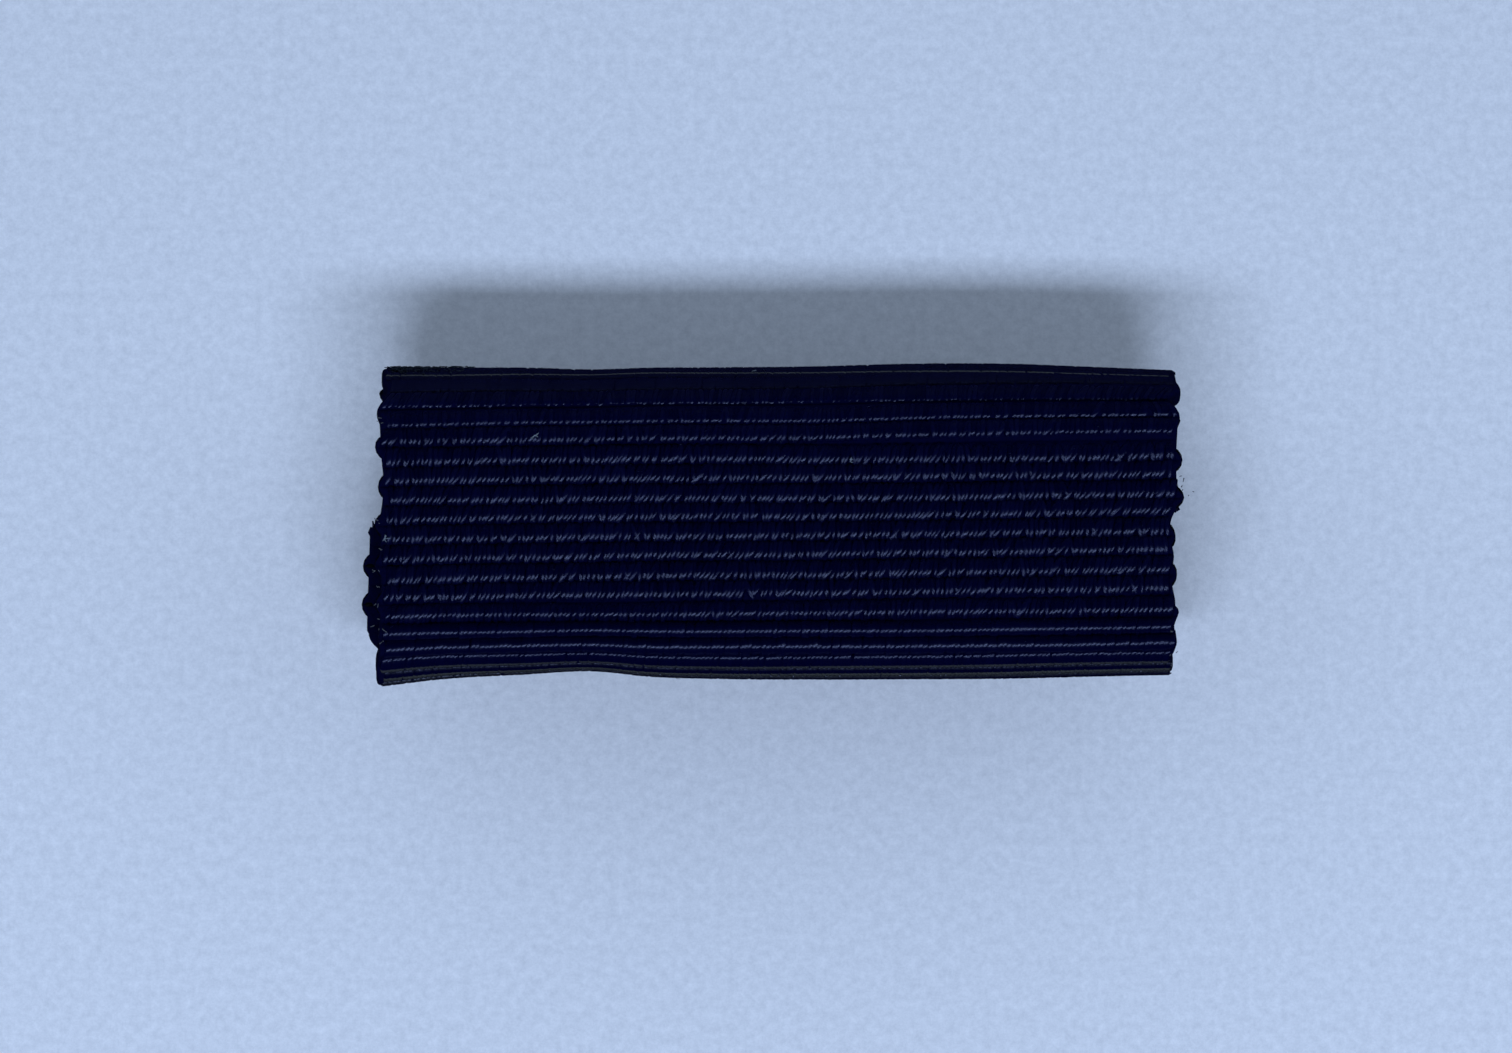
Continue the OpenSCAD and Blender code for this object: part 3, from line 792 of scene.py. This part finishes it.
class RIBBON_OT_fibres(Operator):
    """Raises the loose fibres of the cloth"""

    bl_idname = "ribbon_bar.fibres"
    bl_label = "Loose Fibres"

    def execute(self, context):
        """The fibres are few and stand all over the cloth. The left of the top edge is worn to a
        fuzz, pale hairs on the weft's bends at their chart's places paint glints on them, and lint
        lies on the face."""
        settings = context.scene.ribbon_bar
        wrap = Wrap(settings)
        rng = np.random.default_rng(settings.seed + 2)
        rayon = bpy.data.materials[YARN_FINISH]
        fuzz = cotton_cord("Worn cotton fuzz", srgb("#232a33"), 2)
        sparse, worn = 320, 260
        x, rib = rng.uniform(-15.7, 15.7, sparse) * MM, rng.uniform(-17, 18, sparse)
        self.hairs("loose_fibres", settings, wrap, rng, x, rib, 0.2 * MM, 0.014 * MM, rayon)
        x = (-15.45 + 3.2 * rng.uniform(0, 1, worn) ** 1.7) * MM
        rib = np.clip(rng.normal(-9.2, 0.55, worn), -10.8, -8.1)
        self.hairs("worn_fuzz", settings, wrap, rng, x, rib, 0.22 * MM, 0.036 * MM, fuzz)
        # Pale hairs on the weft's bends: painted glints of the cord turns
        glint_bend = cotton_cord("Worn bend of the weft", srgb("#5b5d60"), 2)
        bends = np.repeat(PAINTED_GLINT_BENDS, 2, axis=0)
        x = (bends[:, 0] + rng.normal(0, 0.1, len(bends))) * MM
        rib = bends[:, 1] + rng.normal(0, 0.1, len(bends))
        self.hairs("painted_glint_bends", settings, wrap, rng, x, rib, 0.11 * MM, 0.026 * MM, glint_bend)
        self.lint(settings, wrap, rng)
        return {"FINISHED"}

    def hairs(self, name, settings, wrap, rng, x, rib, size, radius, material):
        """One piece of hairs that leave the cloth at these places and lean over: h rises by
        t - t^2 / 2, and x and s curl with t^2."""
        x, rib = x[:, None], rib[:, None]
        long = size * rng.uniform(0.5, 1.3, x.shape)
        t = np.linspace(0, 1, 5)[None, :]
        curl = rng.normal(0, 0.7, (2, *x.shape))
        s = wrap.line(rib, x) + curl[1] * long * t ** 2
        h = settings.thickness / 2 - 0.06 * MM + 0.7 * long * (t - t ** 2 / 2)
        laid_cords(name, wrap, (x + curl[0] * long * t ** 2, s, h), radius * (1.1 - 0.6 * t), 3,
                   material, HAIR_UP, tint=rng.uniform(0, 1, (len(x), 1, 1)))

    def lint(self, settings, wrap, rng):
        """Pale specks of lint lying on the ribs: each is a few short hairs that start together
        and curl apart, x and s by a half wave of their length."""
        hairs, long = 3, 0.18 * MM
        spot = np.repeat(LINT_SPOTS, hairs, axis=0)[:, None, :] * MM
        t = np.linspace(-0.5, 1, 7)[None, :]
        turn = np.tile([-0.5, 0.6, 1.7], len(LINT_SPOTS))[:, None]
        turn = turn + rng.normal(0, 0.2, (len(spot), 1))
        curl = rng.normal(0, 0.5, (len(spot), 1))
        size = spot[..., 2] / MM * long * rng.uniform(0.6, 1, (len(spot), 1))
        x = spot[..., 0] + size * (t * np.sin(turn) + curl * np.sin(math.pi * t))
        s = spot[..., 1] + size * (t * np.cos(turn) - 0.5 * curl * np.sin(math.pi * t))
        h = settings.thickness / 2 - 0.01 * MM + 0.04 * MM * t
        laid_cords("lint_specks", wrap, (x, s, h), 0.02 * MM * (1.1 - 0.5 * np.abs(t)), 4,
                   cotton_cord("Pale cotton lint", srgb("#7d868e"), 2), HAIR_UP)


def rounded_copy(node, name, material, radius):
    """A copy of a CAD node, which replaces it, with its corners merged, its flat faces joined and
    its edges rounded by a bevel of two steps."""
    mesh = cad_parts[node].data.copy()
    mesh.name = name
    piece = put(name, mesh)
    shape = bmesh.new()
    shape.from_mesh(mesh)
    bmesh.ops.remove_doubles(shape, verts=shape.verts, dist=1e-7)
    bmesh.ops.dissolve_limit(shape, angle_limit=math.radians(1), verts=shape.verts,
                             edges=shape.edges)
    shape.to_mesh(mesh)
    shape.free()
    mesh.materials.clear()
    mesh.materials.append(material)
    bevel = piece.modifiers.new("Rounded edges", "BEVEL")
    bevel.width = radius
    bevel.segments = 2
    bevel.limit_method = "ANGLE"
    bevel.angle_limit = math.radians(40)
    mesh.shade_smooth()
    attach(piece, ROOT)
    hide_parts(node)
    return piece


class RIBBON_OT_metal(Operator):
    """Finishes the brass bar and the nickel-plated brooch pin"""

    bl_idname = "ribbon_bar.metal"
    bl_label = "Bar and Brooch Pin"

    def execute(self, context):
        """The bar is the frame's own solid in its metal; the pin is the frame's with its edges
        rounded."""
        brass = sheet_metal("Stamped brass", "#b8935a", 0.32, 0.06, "#7a5a34")
        nickel = sheet_metal("Nickel-plated steel", "#cfcbc2", 0.22, 0.05, "#a39c8f")
        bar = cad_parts["bar"]
        bar.data.materials.clear()
        bar.data.materials.append(brass)
        pin = rounded_copy("brooch_pin", "brooch_pin_plated", nickel, 0.06 * MM)
        metal = bpy.data.collections.new(METAL_PIECES)
        for piece in (bar, pin):
            metal.objects.link(piece)
        return {"FINISHED"}


class RIBBON_OT_thread(Operator):
    """Sews the brooch pin and the cut ends down"""

    bl_idname = "ribbon_bar.thread"
    bl_label = "Sewing Thread"

    def execute(self, context):
        """Strands follow smooth paths as a goes from 0 to 1. Through each sewing hole and round
        the plate's edge y runs by a sine and z by (2a - 1)^4. Across the gap between the cut ends,
        beside the plate, y runs evenly and z by the root of a cosine."""
        settings = context.scene.ribbon_bar
        low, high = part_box("brooch_pin")
        plate, radius, clear = 0.4 * MM, 0.13 * MM, 0.16 * MM
        sew_x, gap_x = (high.x - low.x) / 2 - 1.8 * MM, 13.6 * MM
        a = np.linspace(0, 1, 13)
        ways = np.meshgrid((-1, 1), (-1, 1), (-1, 0, 1), indexing="ij")
        end, side, k = np.array(ways).reshape(3, -1, 1)
        inner, outer = 1.1 * MM + 0.1 * k * MM, (high.y - low.y) / 2 + clear
        x = end * sew_x + 0.22 * k * MM * (1 - a) + 0.5 * k * MM * a
        y = side * ((inner + outer) / 2 + (outer - inner) / 2 * np.sin(math.pi * (a - 0.5)))
        z = high.z - plate - clear + (plate + 0.5 * MM) * np.abs(2 * a - 1) ** 4
        paths = [np.stack(np.broadcast_arrays(x, y, z), -1)]
        end, k = np.array(np.meshgrid((-1, 1), range(4), indexing="ij")).reshape(2, -1, 1)
        x = end * (gap_x + 0.4 * k * MM) + end * 0.3 * MM * a * (-1.0) ** k
        z = RIBBON_LOW.z + 0.12 * MM - 0.2 * MM * np.cos(math.pi * (a - 0.5)) ** 0.5
        paths.append(np.stack(np.broadcast_arrays(x, (a - 0.5) * 2.2 * MM, z), -1))
        path = np.concatenate(paths) + [MIDDLE_X, MIDDLE_Y, 0]
        rings = sweep(path, radius, 8, up=(1, 0, 0))
        material = cotton_cord("Black sewing thread", srgb("#0b0b0e"), 3)
        new_piece("sewing_thread", rings, material)
        return {"FINISHED"}


class RIBBON_OT_declare(Operator):
    bl_idname = "ribbon_bar.declare"
    bl_label = "Declare the Cloth"

    def execute(self, context):
        """Does nothing: the flat size, the ribbon's width times its whole ribs' length, is not
        worked out here.
        """
        return {"FINISHED"}


def area_light(name, long, high, radiance, place, turn):
    """A rectangular area light, with its power from its radiance: radiance * area * pi."""
    data = bpy.data.lights.new(name, "AREA")
    data.shape = "RECTANGLE"
    data.size, data.size_y = long, high
    data.energy = radiance * long * high * math.pi
    light = put(name, data)
    light.location, light.rotation_euler = place, turn
    return light


class RIBBON_OT_stage(Operator):
    """Sets up the paper floor, the window light and the camera above"""

    bl_idname = "ribbon_bar.stage"
    bl_label = "Stage"

    def execute(self, context):
        """The camera looks straight down. The light is a long window below the view's bottom
        edge, and the room is dark overhead and bright near the horizon. The paper and the room
        are hidden from reflections, as the cloth's fibres hide them, and four upright soft panels
        round the room light the metal alone, which shows such reflections."""
        settings = context.scene.ribbon_stage
        scene = context.scene

        half = settings.floor_size / 2
        mesh = bpy.data.meshes.new("paper_floor")
        mesh.from_pydata([(-half, -half, 0), (half, -half, 0), (half, half, 0), (-half, half, 0)],
                         [], [(0, 1, 2, 3)])
        mesh.materials.append(paper(settings.paper_colour))
        floor = put("paper_floor", mesh)
        floor.visible_glossy = False

        far, rise = settings.light_distance, settings.light_rise
        window = area_light("window_light", settings.light_long, settings.light_high,
                            settings.radiance, (0, -far * math.cos(rise), far * math.sin(rise)),
                            (math.pi / 2 - rise, 0, 0))
        window.data.color = settings.window_tone

        far, high = settings.panel_distance, settings.panel_high
        for turn in np.arange(4) * math.pi / 2:
            panel = area_light("soft_panel", settings.panel_long, high, settings.panel_radiance,
                               (far * math.sin(turn), -far * math.cos(turn), high / 2),
                               (math.pi / 2, 0, turn))
            panel.light_linking.receiver_collection = bpy.data.collections[METAL_PIECES]

        world = bpy.data.worlds.new("room")
        world.use_nodes = True
        tree = world.node_tree
        background = tree.nodes["Background"]
        place = add(tree, "NodeTexCoord")
        axes = add(tree, "NodeSeparateXYZ", None, {"Vector": place.outputs["Generated"]})
        low = add(tree, "NodeMapRange", {"To Min": 1.0, "To Max": 0.0},
                  {"Value": axes.outputs["Z"]})
        dim = add(tree, "NodeMath", {"operation": "POWER", 1: 2.0}, {0: low.outputs["Result"]})
        front = add(tree, "NodeMapRange",
                    {"interpolation_type": "SMOOTHSTEP", "From Min": -0.7, "From Max": 0.5,
                     "To Min": 0.1 * settings.sky, "To Max": settings.sky},
                    {"Value": axes.outputs["Y"]})
        strength = add(tree, "NodeMath", {"operation": "MULTIPLY"},
                       {0: dim.outputs["Value"], 1: front.outputs["Result"]})
        path = add(tree, "NodeLightPath")
        seen = add(tree, "NodeMapRange", {"To Min": 1.0, "To Max": 0.0},
                   {"Value": path.outputs["Is Glossy Ray"]})
        dimmed = add(tree, "NodeMath", {"operation": "MULTIPLY"},
                     {0: strength.outputs["Value"], 1: seen.outputs["Result"]})
        background.inputs["Color"].default_value = rgba(settings.sky_tone)
        tree.links.new(dimmed.outputs["Value"], background.inputs["Strength"])
        scene.world = world

        data = bpy.data.cameras.new("camera")
        data.sensor_width = 36.0
        data.lens = data.sensor_width * settings.distance / settings.view_width
        data.clip_start, data.clip_end = 0.001, 20
        camera = put("camera", data)
        camera.location = (settings.view_x, settings.view_y, RIBBON_HIGH.z + settings.distance)
        scene.camera = camera
        scene.view_settings.view_transform = "Standard"
        return {"FINISHED"}


class RIBBON_PT_panel(Panel):
    """Lists the pieces of the ribbon bar, with their sizes and colours"""

    bl_idname = "RIBBON_PT_panel"
    bl_label = "Ribbon Bar"
    bl_space_type = "VIEW_3D"
    bl_region_type = "UI"
    bl_category = "Ribbon Bar"

    def draw(self, context):
        """One button for each operator, then the settings."""
        for operator in OPERATORS:
            self.layout.operator(operator.bl_idname)
        for group in (context.scene.ribbon_bar, context.scene.ribbon_stage):
            box = self.layout.box()
            for name in group.bl_rna.properties.keys():
                if name not in ("rna_type", "name"):
                    box.prop(group, name)


OPERATORS = (RIBBON_OT_cloth, RIBBON_OT_yarns, RIBBON_OT_selvedges, RIBBON_OT_cut_ends,
             RIBBON_OT_fibres, RIBBON_OT_metal, RIBBON_OT_thread, RIBBON_OT_declare,
             RIBBON_OT_stage)
CLASSES = (RibbonSettings, StageSettings, *OPERATORS, RIBBON_PT_panel)


def register():
    """Registers the classes, and puts the settings on the scene."""
    for item in CLASSES:
        bpy.utils.register_class(item)
    bpy.types.Scene.ribbon_bar = PointerProperty(type=RibbonSettings)
    bpy.types.Scene.ribbon_stage = PointerProperty(type=StageSettings)


def unregister():
    """Takes the settings and the classes away again."""
    del bpy.types.Scene.ribbon_stage
    del bpy.types.Scene.ribbon_bar
    for item in reversed(CLASSES):
        bpy.utils.unregister_class(item)


def main():
    """Makes every piece in order."""
    register()
    bpy.ops.ribbon_bar.cloth()
    bpy.ops.ribbon_bar.yarns()
    bpy.ops.ribbon_bar.selvedges()
    bpy.ops.ribbon_bar.cut_ends()
    bpy.ops.ribbon_bar.fibres()
    bpy.ops.ribbon_bar.metal()
    bpy.ops.ribbon_bar.thread()
    bpy.ops.ribbon_bar.declare()
    bpy.ops.ribbon_bar.stage()
    bpy.context.view_layer.update()


if __name__ == "__main__":
    main()
